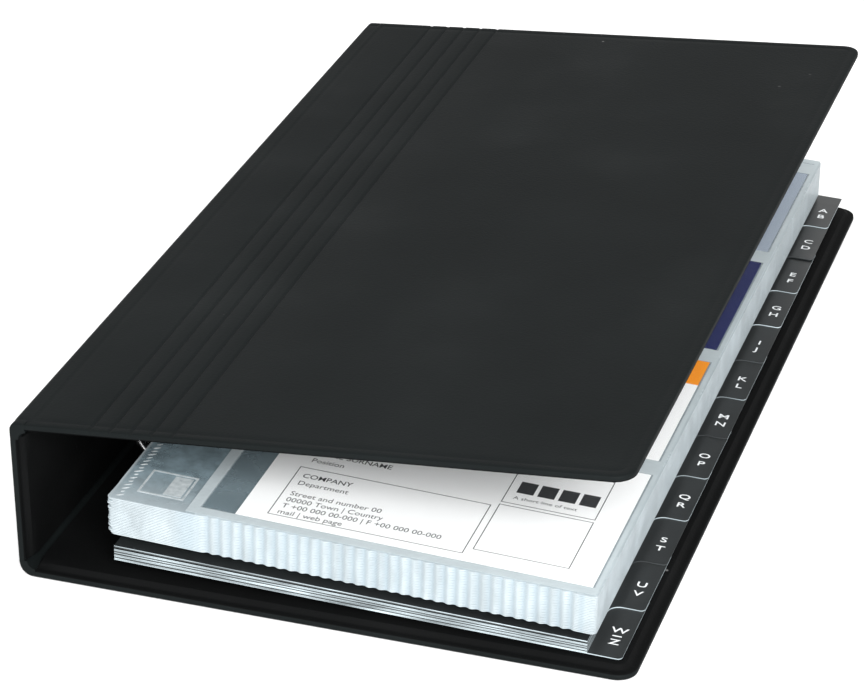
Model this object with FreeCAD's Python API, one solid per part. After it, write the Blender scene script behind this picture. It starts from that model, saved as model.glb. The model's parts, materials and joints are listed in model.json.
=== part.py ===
import FreeCAD, Part
import math
import os

# Business-card ring binder, lying on its back cover with the front cover ajar.
# Frame: +X from the spine to the fore-edge, +Y along the spine, +Z up.
# Origin: centre of the back cover's underside. Units: millimetres and degrees.

Vec = FreeCAD.Vector

# ---- driving dimensions -------------------------------------------------------------

# covers
binder_width = 147.8
binder_length = 267.0
binder_height = 40.0
front_width = 147.3
cover_thickness = 3.0
skin_thickness = 0.5
weld_rim = 2.6
hinge_side_rim = 1.0
fore_edge_corner_radius = 5.0
cover_edge_round = 0.35
hinge_zone = 4.0
hinge_gap = 0.2
hinge_bead = 2.2
hinge_flex_thickness = 0.8
lower_hinge_round = 3.5
upper_hinge_round = 1.8
spine_lean = 2.1
cover_lift = 4.8
groove_first = 20.0
groove_pitch = 5.0
groove_count = 5
groove_width = 1.6
groove_depth = 0.35

# ring mechanism
ring_offset = 20.0
ring_foot_angle = 64.26
ring_radius = 13.6
ring_wire = 2.8
ring_leg_bend = 2.2
bow_overrun = 4.0
ring_spacings = (45.0, 65.0, 45.0)
ring_opening = 8.5
blade_thickness = 0.5
blade_gap = 0.4
blade_side_gap = 0.1
blade_end_gap = 2.0
plate_thickness = 0.5
plate_rise = 2.75
plate_half_width = 10.4
plate_overhang = 15.0
plate_fit = 0.25
plate_arch_step = 0.05
ring_notch_clearance = 0.5
rivet_spacing = 110.0
rivet_post_radius = 2.0
rivet_shank_radius = 1.2
rivet_head_radius = 4.0
rivet_head_thickness = 0.7
rivet_clearance = 0.6
rivet_end_gap = 0.05
rivet_post_gap = 0.1
tenon_radius = 0.7
tenon_peen = 0.3

# sheets; the stack heights are above the back liner, at the bound edge and the fore-edge
pocket_count = 24
pocket_width = 117.0
pocket_length = 256.0
pocket_thickness = 0.32
pocket_left = 20.6
pocket_low = (9.5, 4.9)
pocket_high = (19.4, 15.0)
pocket_corner_radius = 3.0
index_count = 12
index_width = 113.6
index_length = 258.5
index_thickness = 0.24
index_left = 22.4
index_low = (3.2, 0.4)
index_high = (7.0, 3.7)
index_gap_after = 2
index_gap_share = 0.08
tab_reach = 8.0
tab_overlap = 5.0
tab_corner_radius = 1.2
tab_root_radius = 3.0
pocket_near_offset = 5.0
index_near_offset = 4.0
turn_top = 175.0
turn_bottom = 6.0
slot_clearance = 0.45
slot_half_width = 2.9
swing_steps = 12

# cards in the top pocket page
card_length = 85.0
card_width = 55.0
card_thickness = 0.15
card_pitch = 62.3
card_near_offset = 3.8
card_right_margin = 2.0
pocket_film_thickness = 0.06
card_bed_depth = 0.2
card_clearance = 0.35
pocket_dark_margin = 8.5
film_inset = 0.4
film_left_margin = 2.5

# ---- values that follow -------------------------------------------------------------

spine_face_x = -binder_width / 2
near_y = -binder_length / 2
ring_x = spine_face_x + ring_offset
leg_x = ring_x + ring_radius
wire_radius = ring_wire / 2
base_top = cover_thickness
blade_low = base_top + plate_fit
blade_top = blade_low + blade_thickness
blade_mid = blade_low + blade_thickness / 2
ring_height = blade_top + ring_radius * math.sin(math.radians(ring_foot_angle))
pivot_right_x = leg_x - ring_leg_bend
plate_x = pivot_right_x - plate_half_width + plate_thickness
pivot_left_x = 2 * plate_x - pivot_right_x
plate_top = base_top + plate_rise
plate_length = sum(ring_spacings) + 2 * plate_overhang
ring_ys = [sum(ring_spacings[:n]) - sum(ring_spacings) / 2 for n in range(len(ring_spacings) + 1)]
rivet_ys = [-rivet_spacing / 2, rivet_spacing / 2]
hinge_radius = hinge_zone - hinge_flex_thickness / 2
# the web keeps its length when it goes from a quarter turn to flat, which sets the fold axis
fold_inset = (2 * hinge_zone - math.pi / 2 * hinge_radius) / 2
fold_axis = Vec(spine_face_x + fold_inset, 0, fold_inset)
cover_axis_upright = Vec(spine_face_x + fold_inset, 0, binder_height - fold_inset)
sheet_count = pocket_count + index_count
pocket_near_y = near_y + pocket_near_offset
index_near_y = near_y + index_near_offset


# ---- helpers ------------------------------------------------------------------------

def box(x0, x1, y0, y1, z0, z1):
    return Part.makeBox(x1 - x0, y1 - y0, z1 - z0, Vec(x0, y0, z0))


def upright_edges(shape, wanted):
    """Edges along Z whose place in plan passes the test wanted(x, y)."""
    found = []
    for edge in shape.Edges:
        a, b = edge.Vertexes[0].Point, edge.Vertexes[-1].Point
        upright = abs(a.x - b.x) + abs(a.y - b.y) < 1e-6
        if upright and wanted(a.x, a.y):
            found.append(edge)
    return found


def corner_at(x, y):
    return lambda px, py: abs(px - x) + abs(py - y) < 1e-3


def flat_edges(shape, z, x_from):
    found = []
    for edge in shape.Edges:
        bounds = edge.BoundBox
        level = abs(bounds.ZMin - z) < 1e-6 and abs(bounds.ZMax - z) < 1e-6
        if level and bounds.XMax > x_from:
            found.append(edge)
    return found


def turned(shape, axis_point, angle):
    """A copy turned about the Y direction, from +X towards +Z for a positive angle."""
    copy = shape.copy()
    copy.rotate(axis_point, Vec(0, -1, 0), angle)
    return copy


def turned_point(point, axis_point, angle):
    c, s = math.cos(math.radians(angle)), math.sin(math.radians(angle))
    dx, dz = point.x - axis_point.x, point.z - axis_point.z
    return Vec(axis_point.x + c * dx - s * dz, point.y, axis_point.z + s * dx + c * dz)


def save(name, shapes):
    shapes = shapes if isinstance(shapes, list) else [shapes]
    for shape in shapes:
        if not shape.isValid() or shape.Volume <= 0:
            raise ValueError("bad solid in " + name)
    result = shapes[0] if len(shapes) == 1 else Part.makeCompound(shapes)
    result.exportStep("parts/" + name + ".step")


# ---- covers: a board welded between an outer skin and a liner -----------------------

def panel(width, low, high, rims, corner_radius):
    """A flat plate from the hinge side to the fore-edge, drawn lying at the origin."""
    hinge_rim, end_rim, fore_rim = rims
    solid = box(hinge_rim, width - fore_rim, near_y + end_rim, -near_y - end_rim, low, high)
    if corner_radius > fore_rim:
        solid = solid.makeFillet(corner_radius - fore_rim, upright_edges(solid, lambda x, y: x > width / 2))
    return solid


def half_shell(width, low, high, cavity, corner_radius, round_level):
    shell = panel(width, low, high, (0, 0, 0), corner_radius)
    return shell.makeFillet(cover_edge_round, flat_edges(shell, round_level, 0.001)).cut(cavity)


def make_cover(width, corner_radius, fore_rim):
    """Outer skin, board and liner of one panel; its outer face is down at z = 0."""
    rims = (hinge_side_rim, weld_rim, fore_rim)
    middle = cover_thickness / 2
    board = panel(width, skin_thickness, cover_thickness - skin_thickness, rims, corner_radius)
    outer = half_shell(width, 0, middle, board, corner_radius, 0)
    liner = half_shell(width, middle, cover_thickness, board, corner_radius, cover_thickness)
    return outer, board, liner


def make_back_cover():
    shapes = []
    for shape in make_cover(binder_width - hinge_zone, fore_edge_corner_radius, weld_rim):
        shape.translate(Vec(spine_face_x + hinge_zone, 0, 0))
        shapes.append(shape)
    outer, board, liner = shapes
    for y in rivet_ys:
        shank = Part.makeCylinder(rivet_shank_radius, cover_thickness, Vec(plate_x, y, 0))
        head = rivet_head(y)
        board = board.cut(head).cut(shank)
        liner = liner.cut(shank)
    return outer, board, liner


def make_spine():
    """The spine's three layers, stood up and leaning outward about the fold axis."""
    shapes = []
    for shape in make_cover(binder_height - 2 * hinge_zone, 0, hinge_side_rim):
        shape.rotate(Vec(0, 0, 0), Vec(0, 1, 0), 90)
        shape.translate(Vec(spine_face_x, 0, binder_height - hinge_zone))
        shapes.append(turned(shape, fold_axis, spine_lean))
    return shapes


def cut_grooves(skin):
    for n in range(groove_count):
        x = groove_first + n * groove_pitch - hinge_zone
        cutter = box(x - groove_width / 2, x + groove_width / 2, near_y - 1, -near_y + 1, -1, groove_depth)
        skin = skin.cut(cutter)
    return skin


def place_front(shape):
    """From lying outer face down to closed over the spine, then lifted to the rest pose."""
    flipped = shape.mirror(Vec(0, 0, 0), Vec(0, 0, 1))
    flipped.translate(Vec(spine_face_x + hinge_zone, 0, binder_height))
    raised = turned(flipped, cover_axis_upright, cover_lift - spine_lean)
    return turned(raised, fold_axis, spine_lean)


def make_front_cover():
    outer, board, liner = make_cover(front_width - hinge_zone, fore_edge_corner_radius, weld_rim)
    return [place_front(shape) for shape in (cut_grooves(outer), board, liner)]


def make_hinge_web(cover_gap, spine_gap, outer_round):
    """The skins welded at a binder corner: round outside, hollow towards the inner corner."""
    web = box(0, hinge_zone - cover_gap, near_y, -near_y, 0, hinge_zone - spine_gap)
    outer_edge = [edge for edge in web.Edges if edge.BoundBox.XMax < 1e-6 and edge.BoundBox.ZMax < 1e-6]
    web = web.makeFillet(outer_round, outer_edge)
    corner = Vec(hinge_zone, near_y, hinge_zone)
    web = web.cut(Part.makeCylinder(hinge_zone - hinge_bead, binder_length, corner, Vec(0, 1, 0)))
    web.translate(Vec(spine_face_x, 0, 0))
    return web


def make_upper_web():
    web = make_hinge_web(hinge_gap, 0, upper_hinge_round)
    flipped = web.mirror(Vec(0, 0, binder_height / 2), Vec(0, 0, 1))
    return turned(flipped, fold_axis, spine_lean)


# ---- ring mechanism -----------------------------------------------------------------

def arch_face(x_half, z_edge, z_mid, y):
    left, right = Vec(plate_x - x_half, y, z_edge), Vec(plate_x + x_half, y, z_edge)
    arc = Part.Arc(left, Vec(plate_x, y, z_mid), right)
    return Part.Face(Part.Wire([arc.toShape(), Part.makeLine(right, left)]))


def make_plate():
    """Arched sheet-metal plate; its long edges stand on the liner and trap the blades."""
    run = Vec(0, plate_length, 0)
    start = -plate_length / 2
    edge_top = blade_top + plate_thickness
    crown = arch_face(plate_half_width, edge_top, plate_top, start).extrude(run)
    skirt = box(plate_x - plate_half_width, plate_x + plate_half_width, start, -start, base_top, edge_top)
    hollow_half = plate_half_width - plate_thickness
    hollow_edge = edge_top - plate_arch_step
    under = arch_face(hollow_half, hollow_edge, plate_top - plate_thickness, start).extrude(run)
    room = box(plate_x - hollow_half, plate_x + hollow_half, start, -start, base_top, hollow_edge)
    plate = crown.fuse(skirt).cut(under).cut(room).removeSplitter()
    for y in ring_ys:
        reach = wire_radius + ring_notch_clearance
        for side, pivot in ((-1, pivot_left_x), (1, pivot_right_x)):
            outer = pivot + side * 2 * plate_thickness
            inner = foot_x(side) - side * reach
            x0, x1 = sorted((outer, inner))
            plate = plate.cut(box(x0, x1, y - reach, y + reach, base_top, plate_top))
    for y in rivet_ys:
        plate = plate.cut(Part.makeCylinder(rivet_shank_radius, plate_top, Vec(plate_x, y, 0)))
    return plate


def make_blade(side):
    """One toggle blade: a flat strip from the plate's edge to the middle."""
    outer = plate_x + side * (plate_half_width - plate_thickness - blade_side_gap)
    inner = plate_x + side * blade_gap / 2
    x0, x1 = sorted((outer, inner))
    half = plate_length / 2 - blade_end_gap
    blade = box(x0, x1, -half, half, blade_low, blade_top)
    for y in rivet_ys:
        notch = rivet_post_radius + rivet_clearance
        blade = blade.cut(Part.makeCylinder(notch, blade_top, Vec(plate_x, y, 0)))
    for y in ring_ys:
        blade = blade.cut(Part.makeCylinder(tenon_radius, blade_top, Vec(foot_x(side), y, 0)))
    return blade


def foot_x(side):
    """Where a ring half meets its blade."""
    if side < 0:
        return ring_x - ring_radius * math.cos(math.radians(ring_foot_angle))
    return leg_x - ring_leg_bend


def ring_path(side, y):
    """Centre line of one ring half, from its tip at the top to its foot on the blade."""
    centre = Vec(ring_x, y, ring_height)
    top = Vec(ring_x, y, ring_height + ring_radius)

    def on_circle(angle):
        a = math.radians(angle)
        return centre + Vec(ring_radius * math.cos(a), 0, ring_radius * math.sin(a))

    if side < 0:
        low = 180 + ring_foot_angle
        foot = on_circle(low + bow_overrun)
        return [Part.Arc(top, on_circle((90 + low) / 2), foot).toShape()]
    corner_z = blade_top + ring_leg_bend
    side_point = Vec(leg_x, y, ring_height)
    bend_start = Vec(leg_x, y, corner_z)
    bend_centre = Vec(leg_x - ring_leg_bend, y, corner_z)
    slant = Vec(ring_leg_bend * math.cos(math.pi / 4), 0, -ring_leg_bend * math.sin(math.pi / 4))
    bend_end = bend_centre - Vec(0, 0, ring_leg_bend)
    return [
        Part.Arc(top, on_circle(45), side_point).toShape(),
        Part.makeLine(side_point, bend_start),
        Part.Arc(bend_start, bend_centre + slant, bend_end).toShape(),
    ]


def make_ring_half(side, y):
    """Round wire swept along the half ring, trimmed on the blade, with a peened tenon."""
    wire = Part.Wire(ring_path(side, y))
    top = Vec(ring_x, y, ring_height + ring_radius)
    section = Part.Wire(Part.makeCircle(wire_radius, top, Vec(1, 0, 0)))
    half = wire.makePipeShell([section], True, False)
    reach = 2 * ring_radius
    half = half.cut(box(ring_x - reach, ring_x + reach, y - ring_wire, y + ring_wire, 0, blade_top))
    tenon = Part.makeCylinder(tenon_radius, blade_thickness + tenon_peen, Vec(foot_x(side), y, blade_low))
    return half.fuse(tenon)


def rivet_head(y):
    return Part.makeCylinder(rivet_head_radius, rivet_head_thickness, Vec(plate_x, y, skin_thickness))


def make_rivet(y):
    """Head under the liner, post between board and plate, end peened flush in the plate."""
    shank_height = plate_top - skin_thickness - rivet_end_gap
    shank = Part.makeCylinder(rivet_shank_radius, shank_height, Vec(plate_x, y, skin_thickness))
    post_height = plate_rise - plate_thickness - rivet_post_gap
    post = Part.makeCylinder(rivet_post_radius, post_height, Vec(plate_x, y, base_top))
    return rivet_head(y).fuse(shank).fuse(post)


# ---- sheets -------------------------------------------------------------------------

def sheet_slope(left_z, right_z, width):
    return math.degrees(math.asin((right_z - left_z) / width))


def between(pair_low, pair_high, share):
    return [a + (b - a) * share for a, b in zip(pair_low, pair_high)]


def sheet_share(number):
    """How high a sheet lies in its own stack, from 1 at the top to 0."""
    if number < pocket_count:
        return 1 - number / (pocket_count - 1)
    place = number - pocket_count
    gap = index_gap_share if place >= index_gap_after else 0
    return 1 - gap - (1 - index_gap_share) * place / (index_count - 1)


def sheet_rest(number):
    """Left x, left z, slope and width of a sheet, counted from the top of the stack."""
    if number < pocket_count:
        low, high, thickness = pocket_low, pocket_high, pocket_thickness
        left, width = pocket_left, pocket_width
    else:
        low, high, thickness = index_low, index_high, index_thickness
        left, width = index_left, index_width
    top = [height - thickness for height in high]
    left_z, right_z = between(low, top, sheet_share(number))
    return spine_face_x + left, base_top + left_z, sheet_slope(left_z, right_z, width), width


def sheet_turn(number):
    """How far a sheet swings over the rings when the binder is open flat."""
    return turn_top + (turn_bottom - turn_top) * number / (sheet_count - 1)


def ring_points(opened):
    """Points along both ring halves' centre lines, about a millimetre apart."""
    points = []
    for side, pivot_x in ((-1, pivot_left_x), (1, pivot_right_x)):
        pivot = Vec(pivot_x, 0, blade_mid)
        for edge in ring_path(side, 0):
            steps = max(2, int(edge.Length * 2))
            for point in edge.discretize(steps):
                points.append(turned_point(point, pivot, -side * opened))
    return points


def slot_reach(number, thickness):
    """Nearest and farthest place, along the sheet, that the ring wire reaches in its slot."""
    left_x, left_z, slope, _ = sheet_rest(number)
    corner = Vec(left_x, 0, left_z)
    centre = Vec(ring_x, 0, ring_height)
    nearest, farthest = 1000.0, 0.0
    for opened in (0, ring_opening / 2, ring_opening):
        wire = ring_points(opened)
        for step in range(swing_steps + 1):
            angle = sheet_turn(number) * step / swing_steps
            start = turned_point(corner, centre, angle)
            lean = math.radians(slope + angle)
            for point in wire:
                dx, dz = point.x - start.x, point.z - start.z
                along = dx * math.cos(lean) + dz * math.sin(lean)
                above = dz * math.cos(lean) - dx * math.sin(lean)
                gap = max(0, abs(above - thickness / 2) - thickness / 2)
                if gap < wire_radius and along > -wire_radius:
                    half = math.sqrt(wire_radius ** 2 - gap ** 2)
                    nearest = min(nearest, along - half)
                    farthest = max(farthest, along + half)
    return nearest, farthest


def slot_span(first, last, thickness):
    """One slot that suits every sheet of a kind, as they are all punched alike."""
    reaches = [slot_reach(number, thickness) for number in range(first, last)]
    nearest = min(reach[0] for reach in reaches) - slot_clearance
    farthest = max(reach[1] for reach in reaches) + slot_clearance
    return nearest, farthest


def punch_slots(sheet, span, thickness):
    start, end = span
    half = slot_half_width
    for y in ring_ys:
        tool = box(start + half, end - half, y - half, y + half, -1, thickness + 1)
        for x in (start + half, end - half):
            tool = tool.fuse(Part.makeCylinder(half, thickness + 2, Vec(x, y, -1)))
        sheet = sheet.cut(tool.removeSplitter())
    return sheet


def place_sheet(shape, number):
    left_x, left_z, slope, _ = sheet_rest(number)
    shape = turned(shape, Vec(0, 0, 0), slope)
    shape.translate(Vec(left_x, 0, left_z))
    return shape


def make_pocket_blank(thickness):
    start = pocket_near_y
    blank = box(0, pocket_width, start, start + pocket_length, 0, thickness)
    return blank.makeFillet(pocket_corner_radius, upright_edges(blank, lambda x, y: True))


def card_starts():
    first = pocket_near_y + card_near_offset
    return [first + n * card_pitch for n in range(4)]


def card_x_range():
    right = pocket_width - card_right_margin
    return right - card_length, right


def make_top_page(span):
    """Backing film of the top page, with a bed for each card under the clear front film."""
    page = punch_slots(make_pocket_blank(pocket_thickness - pocket_film_thickness), span, pocket_thickness)
    x0, x1 = card_x_range()
    top = pocket_thickness - pocket_film_thickness
    for y in card_starts():
        bed = box(x0 - pocket_dark_margin, x1 + card_clearance, y - card_clearance,
                  y + card_width + card_clearance, top - card_bed_depth, top + 1)
        page = page.cut(bed)
    return page


def make_top_film():
    """Clear front film over the four pockets, welded round them."""
    x0, _ = card_x_range()
    left, right = x0 - pocket_dark_margin - film_left_margin, pocket_width - film_inset
    near = pocket_near_y + film_inset
    far = pocket_near_y + pocket_length - film_inset
    return box(left, right, near, far, pocket_thickness - pocket_film_thickness, pocket_thickness)


def make_card(y):
    x0, x1 = card_x_range()
    low = pocket_thickness - pocket_film_thickness - card_bed_depth
    return box(x0, x1, y, y + card_width, low, low + card_thickness)


def tab_range(number):
    """Near and far end of an index tab; the top sheet's tab is at the far end."""
    length = index_length / index_count
    far = index_near_y + index_length - number * length
    hidden = 0 if number == 0 else tab_overlap
    return far - length, far + hidden


def make_index_sheet(number, span):
    """A punched sheet whose tab steps out from the fore-edge with rounded corners."""
    low, high = tab_range(number)
    end = index_width + tab_reach
    sheet = box(0, index_width, index_near_y, index_near_y + index_length, 0, index_thickness)
    sheet = sheet.fuse(box(index_width - 1, end, low, high, 0, index_thickness)).removeSplitter()
    sheet = sheet.makeFillet(tab_corner_radius, upright_edges(sheet, corner_at(end, low)))
    if number < index_count - 1:
        sheet = sheet.makeFillet(tab_root_radius, upright_edges(sheet, corner_at(index_width, low)))
    return punch_slots(sheet, span, index_thickness)


# ---- build --------------------------------------------------------------------------

def build():
    os.makedirs("parts", exist_ok=True)
    for name, shapes in (("back", make_back_cover()), ("spine", make_spine()), ("front", make_front_cover())):
        for layer, shape in zip(("outer_skin", "board", "liner"), shapes):
            save(name + "_" + layer, shape)
    save("lower_hinge_web", make_hinge_web(0, hinge_gap, lower_hinge_round))
    save("upper_hinge_web", make_upper_web())
    save("mechanism_plate", make_plate())
    save("mechanism_rivets", [make_rivet(y) for y in rivet_ys])
    for side, word in ((-1, "left"), (1, "right")):
        save("toggle_blade_" + word, make_blade(side))
        save("ring_halves_" + word, [make_ring_half(side, y) for y in ring_ys])
    pocket_span = slot_span(0, pocket_count, pocket_thickness)
    index_span = slot_span(pocket_count, sheet_count, index_thickness)
    print("slots", [round(v, 2) for v in pocket_span + index_span])
    save("pocket_page_01", place_sheet(make_top_page(pocket_span), 0))
    save("pocket_film_01", place_sheet(make_top_film(), 0))
    for n, y in enumerate(card_starts()):
        save("card_" + str(n + 1), place_sheet(make_card(y), 0))
    plain = punch_slots(make_pocket_blank(pocket_thickness), pocket_span, pocket_thickness)
    for n in range(1, pocket_count):
        save("pocket_page_%02d" % (n + 1), place_sheet(plain, n))
    for n in range(index_count):
        save("index_sheet_%02d" % (n + 1), place_sheet(make_index_sheet(n, index_span), pocket_count + n))


build()
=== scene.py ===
import json
import math
import random

import bmesh
import bpy
from mathutils import Matrix, Vector


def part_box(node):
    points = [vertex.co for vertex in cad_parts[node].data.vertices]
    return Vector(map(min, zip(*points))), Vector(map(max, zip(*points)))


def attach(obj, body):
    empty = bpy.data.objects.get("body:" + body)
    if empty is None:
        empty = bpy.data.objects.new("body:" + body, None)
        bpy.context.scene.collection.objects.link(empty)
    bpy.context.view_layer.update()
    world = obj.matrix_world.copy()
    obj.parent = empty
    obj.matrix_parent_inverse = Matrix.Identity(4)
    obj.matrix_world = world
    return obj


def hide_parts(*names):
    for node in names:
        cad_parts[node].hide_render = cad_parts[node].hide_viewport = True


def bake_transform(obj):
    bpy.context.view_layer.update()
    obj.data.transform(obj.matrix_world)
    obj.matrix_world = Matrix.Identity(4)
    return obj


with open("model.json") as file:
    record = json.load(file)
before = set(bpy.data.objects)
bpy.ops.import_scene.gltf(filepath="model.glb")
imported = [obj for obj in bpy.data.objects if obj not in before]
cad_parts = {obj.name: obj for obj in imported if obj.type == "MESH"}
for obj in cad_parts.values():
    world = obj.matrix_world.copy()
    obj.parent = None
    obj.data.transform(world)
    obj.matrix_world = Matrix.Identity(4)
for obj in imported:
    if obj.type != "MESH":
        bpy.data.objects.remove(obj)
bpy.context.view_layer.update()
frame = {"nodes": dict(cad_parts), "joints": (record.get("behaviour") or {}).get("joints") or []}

bl_info = {
    "name": "Card Ring Binder",
    "version": (1, 0, 0),
    "blender": (4, 5, 0),
    "location": "3D View > Sidebar > Binder",
    "description": "Builds the looks of a business-card ring binder round its packed frame",
    "category": "Object",
}

MM = 0.001
JOINTS = {joint["name"]: joint for joint in frame["joints"]}
POCKET_PAGES = ["pocket_page_%02d" % (n + 1) for n in range(24)]
INDEX_SHEETS = ["index_sheet_%02d" % (n + 1) for n in range(12)]
CLEAN_CUT_SHEETS = (1, 4, 6, 9)
TAB_LETTERS = ("AB", "CD", "EF", "GH", "IJ", "KL", "MN", "OP", "QR", "ST", "UV", "WZ")

# Height of a cover's outer face below its crown, by distance from a free edge: the lip,
# the welded rim, the faint pressed weld line, and the flat over the board.
EDGE_PROFILE = (
    (0.25, 1.50), (0.06, 1.25), (0.00, 0.95), (0.03, 0.55), (0.15, 0.26), (0.42, 0.09),
    (0.90, 0.03), (2.10, 0.03), (2.50, 0.15), (2.85, 0.15), (3.60, 0.02), (5.00, 0.00),
)
# The same for the lining, where the rim is pressed thinner and the board stands proud.
LINING_PROFILE = (
    (0.25, 1.50), (0.12, 1.47), (0.10, 1.44), (0.14, 1.40), (0.25, 1.36), (0.50, 1.32),
    (1.00, 1.30), (1.60, 1.30), (1.90, 1.10), (2.25, 0.50), (2.70, 0.12), (5.00, 0.00),
)
# The same by distance from a hinge, where the skin runs on into the web.
HINGE_PROFILE = (
    (0.00, 1.50), (0.00, 1.10), (0.00, 0.70), (0.00, 0.35), (0.00, 0.00), (0.30, 0.00),
    (0.70, 0.03), (1.00, 0.12), (1.40, 0.14), (1.90, 0.05), (2.60, 0.00), (3.40, 0.00),
)
# The same for the lining, steep enough for the board's corners to stay under it.
LINING_HINGE_PROFILE = (
    (0.00, 1.50), (0.00, 1.10), (0.00, 0.70), (0.00, 0.35), (0.00, 0.00), (0.04, 0.00),
    (0.08, 0.00), (0.14, 0.00), (0.22, 0.00), (0.32, 0.02), (1.60, 0.05), (3.40, 0.00),
)
# Where a cover's mesh has lines across a groove, in shares of half its width.
GROOVE_LINES = (-1, -0.66, -0.33, 0, 0.33, 0.66, 1)


# ---- sizes and colours --------------------------------------------------------------

def length(name, description, default):
    return bpy.props.FloatProperty(
        name=name, description=description, default=default * MM, min=0, precision=5, unit="LENGTH")


def colour(name, description, default):
    return bpy.props.FloatVectorProperty(
        name=name, description=description, default=default, min=0, max=1, subtype="COLOR")


class BinderSizes(bpy.types.PropertyGroup):
    cover_thickness: length("Cover thickness", "Two welded skins with a board between", 3.0)
    skin_thickness: length("Skin thickness", "Vinyl on each side of the board", 0.5)
    weld_rim: length("Weld rim", "Free edge to the board", 2.6)
    hinge_rim: length("Hinge rim", "Hinge to the board", 1.0)
    corner_radius: length("Corner radius", "Fore-edge corners of the covers", 5.0)
    hinge_zone: length("Hinge zone", "Radius of the webs outside", 4.0)
    web_thickness: length("Web thickness", "Outer face to the hollow inside", 2.2)
    lower_round: length("Lower hinge round", "Outside radius between back cover and spine", 3.5)
    upper_round: length("Upper hinge round", "Outside radius between spine and front cover", 1.8)
    groove_first: length("First groove", "From the spine's face to the first pressed line", 20.0)
    groove_pitch: length("Groove pitch", "From one pressed line to the next", 5.0)
    groove_width: length("Groove width", "Width of a pressed line", 1.4)
    groove_depth: length("Groove depth", "Depth of a pressed line", 0.32)
    groove_count: bpy.props.IntProperty(
        name="Grooves", description="Pressed lines on the front cover", default=5, min=0)
    ring_offset: length("Ring offset", "Spine's face to the rings' centre", 20.0)
    ring_height: length("Ring height", "Table to the rings' centre", 16.0)
    ring_radius: length("Ring radius", "Centre line of the wire", 13.6)
    ring_wire: length("Ring wire", "Diameter of the wire", 2.8)
    ring_leg_bend: length("Ring leg bend", "Bend at the foot of the straight leg", 2.2)
    ring_outer_spacing: length("Outer spacing", "First to second ring", 45.0)
    ring_middle_spacing: length("Middle spacing", "Second to third ring", 65.0)
    page_thickness: length("Page thickness", "Two films welded", 0.32)
    page_corner: length("Page corner", "Corner radius of a pocket page", 1.4)
    page_slot_start: length("Page slot start", "Bound edge to the punched slot", 9.55)
    page_slot_end: length("Page slot end", "Bound edge to the slot's far end", 17.37)
    flute_pitch: length("Flute pitch", "Waves pressed in the pages' near edges", 2.7)
    flute_depth: length("Flute depth", "Depth of those waves", 0.5)
    flute_start: length("Flute start", "Bound edge to the first wave", 23.0)
    strip_width: length("Strip width", "Bound edge to the pockets", 21.5)
    seam_inset: length("Seam inset", "Bound edge to the first dotted weld", 2.4)
    seam_pitch: length("Seam pitch", "Between the dots of a dotted weld", 1.7)
    card_pitch: length("Card pitch", "From one pocket to the next", 62.3)
    index_thickness: length("Index sheet thickness", "Thickness of an index sheet", 0.24)
    index_tab: length("Tab reach", "Index tab beyond the sheet", 8.0)
    index_slot_start: length("Index slot start", "Bound edge to the punched slot", 6.31)
    index_slot_end: length("Index slot end", "Bound edge to the slot's far end", 14.34)
    slot_width: length("Slot width", "Across a punched slot", 5.8)
    letter_height: length("Letter height", "Capitals on the tabs", 2.15)


class BinderColours(bpy.types.PropertyGroup):
    vinyl: colour("Vinyl", "Outer skins and webs", (0.0040, 0.0054, 0.0056))
    liner: colour("Liner", "Inner skins", (0.0025, 0.0027, 0.0028))
    pocket: colour("Pocket", "Clear part of a pocket page over more pages", (0.19, 0.255, 0.285))
    weld: colour("Weld", "Milky welded borders and edges", (0.58, 0.655, 0.69))
    index: colour("Index plastic", "Index sheets", (0.010, 0.0115, 0.012))
    # Pale edge tone: partly whitened plastic, partly a painted highlight along the edges.
    index_edge: colour("Index edge", "Sheared edges of the index sheets", (0.30, 0.35, 0.37))
    letters: colour("Letters", "Printed index letters", (0.72, 0.74, 0.75))
    orange: colour("Orange", "Block printed on the second card", (0.90, 0.29, 0.004))
    navy: colour("Navy", "Third card", (0.005, 0.009, 0.085))
    grey_blue: colour("Grey blue", "Fourth card", (0.33, 0.385, 0.46))
    ink: colour("Ink", "Print on the first card", (0.02, 0.02, 0.022))


def sizes():
    return bpy.context.scene.binder_sizes


def colours():
    return bpy.context.scene.binder_colours


# ---- places taken from the frame ----------------------------------------------------

def turned(point, axis_point, angle):
    """A point turned about the Y direction, from +X towards +Z."""
    c, s = math.cos(angle), math.sin(angle)
    dx, dz = point.x - axis_point.x, point.z - axis_point.z
    return Vector((axis_point.x + c * dx - s * dz, point.y, axis_point.z + s * dx + c * dz))


def placement(origin, along, out):
    """Maps a piece drawn flat (along the sheet, along the spine, off its face) to its place."""
    matrix = Matrix.Identity(4)
    matrix.col[0][:3] = along
    matrix.col[2][:3] = out
    matrix.col[3][:3] = origin
    return matrix


def spine_lean():
    return math.radians(90 - JOINTS["spine_fold"]["range_deg"][1])


def cover_lift():
    return math.radians(-JOINTS["cover_close"]["range_deg"][0])


def half_length():
    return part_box("back_outer_skin")[1].y


def spine_face():
    return -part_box("back_outer_skin")[1].x


def back_placement():
    origin = Vector((spine_face() + sizes().hinge_zone, 0, 0))
    return placement(origin, (1, 0, 0), (0, 0, 1))


def spine_placement():
    lean = spine_lean()
    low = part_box("spine_outer_skin")[0]
    height = spine_width()
    origin = Vector((low.x + math.sin(lean) * height, 0, low.z))
    return placement(origin, (-math.sin(lean), 0, math.cos(lean)), (math.cos(lean), 0, math.sin(lean)))


def spine_width():
    lean = spine_lean()
    low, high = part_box("spine_outer_skin")
    return (high.z - low.z - sizes().cover_thickness / 2 * math.sin(lean)) / math.cos(lean)


def front_placement():
    lift = cover_lift()
    thick = sizes().cover_thickness
    off = Vector((-math.sin(lift), 0, math.cos(lift)))
    inner = Vector((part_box("front_outer_skin")[0].x + thick * math.sin(lift), 0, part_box("front_liner")[0].z))
    return placement(inner + off * thick, (math.cos(lift), 0, math.sin(lift)), -off)


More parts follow.
